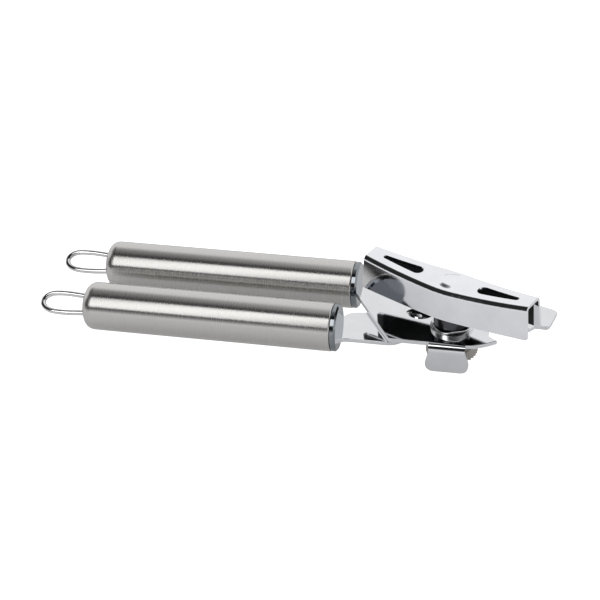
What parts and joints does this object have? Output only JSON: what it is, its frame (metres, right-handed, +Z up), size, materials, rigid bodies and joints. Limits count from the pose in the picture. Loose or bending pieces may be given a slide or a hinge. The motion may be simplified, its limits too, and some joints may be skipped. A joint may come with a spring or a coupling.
{
  "type": "manual can opener",
  "caption": "Hand-held can opener with two round steel handles, wire hanging loops, crossed plated arms, a bent turning key, a toothed feed wheel and a cutting wheel.",
  "frame": {"origin": "bottom centre of the whole opener's box, with the opener lying flat", "axes": "+X along the handles towards the cutting head, +Z up through the turning key, so the arms lie in XY planes"},
  "size_m": [0.2026, 0.054, 0.0365],
  "materials": {
    "satin_tube": "satin, brushed round the tube",
    "satin_plug": "satin",
    "polished_wire": "polished",
    "polished_cap": "mirror polished, turned",
    "polished_plate": "mirror plated",
    "polished_key": "mirror plated",
    "polished_rivet": "plated",
    "bright_washer": "plated",
    "dark_steel": "dark plated",
    "feed_steel": "as stamped",
    "cutter_steel": "ground and hardened",
    "hidden_steel": "plain"
  },
  "bodies": {
    "rear_lever": {"rear_handle_tube": "satin_tube", "rear_hanging_loop": "polished_wire", "rear_tail_plug": "satin_plug", "rear_end_cap": "polished_cap", "rear_tang_pin": "hidden_steel", "rear_arm": "polished_plate", "pivot_rivet": "polished_rivet", "pivot_washer": "hidden_steel", "shaft_bushing": "dark_steel", "thrust_washer": "bright_washer"},
    "front_lever": {"front_handle_tube": "satin_tube", "front_hanging_loop": "polished_wire", "front_tail_plug": "satin_plug", "front_end_cap": "polished_cap", "front_tang_pin": "hidden_steel", "front_arm": "polished_plate", "cutter_stud": "dark_steel", "cutter_sleeve": "dark_steel", "cutter_cap": "dark_steel"},
    "key_drive": {"turning_key": "polished_key", "key_hub": "dark_steel", "drive_shaft": "dark_steel", "wave_washer": "bright_washer", "feed_wheel": "feed_steel", "wheel_nut": "feed_steel"},
    "cutter": {"cutting_wheel": "cutter_steel"}
  },
  "joints": [
    {"name": "arm_pivot", "type": "hinge", "parent": "rear_lever", "child": "front_lever", "pos_m": [0.04952, 0.00106, 0.0136], "axis": [0, 0, 1], "range_deg": [0, 26]},
    {"name": "key_spin", "type": "hinge", "parent": "rear_lever", "child": "key_drive", "pos_m": [0.06302, -0.00844, 0.0136], "axis": [0, 0, 1], "continuous": true},
    {"name": "cutter_spin", "type": "hinge", "parent": "front_lever", "child": "cutter", "pos_m": [0.06302, 0.00956, 0.00185], "axis": [0, 0, 1], "continuous": true}
  ]
}
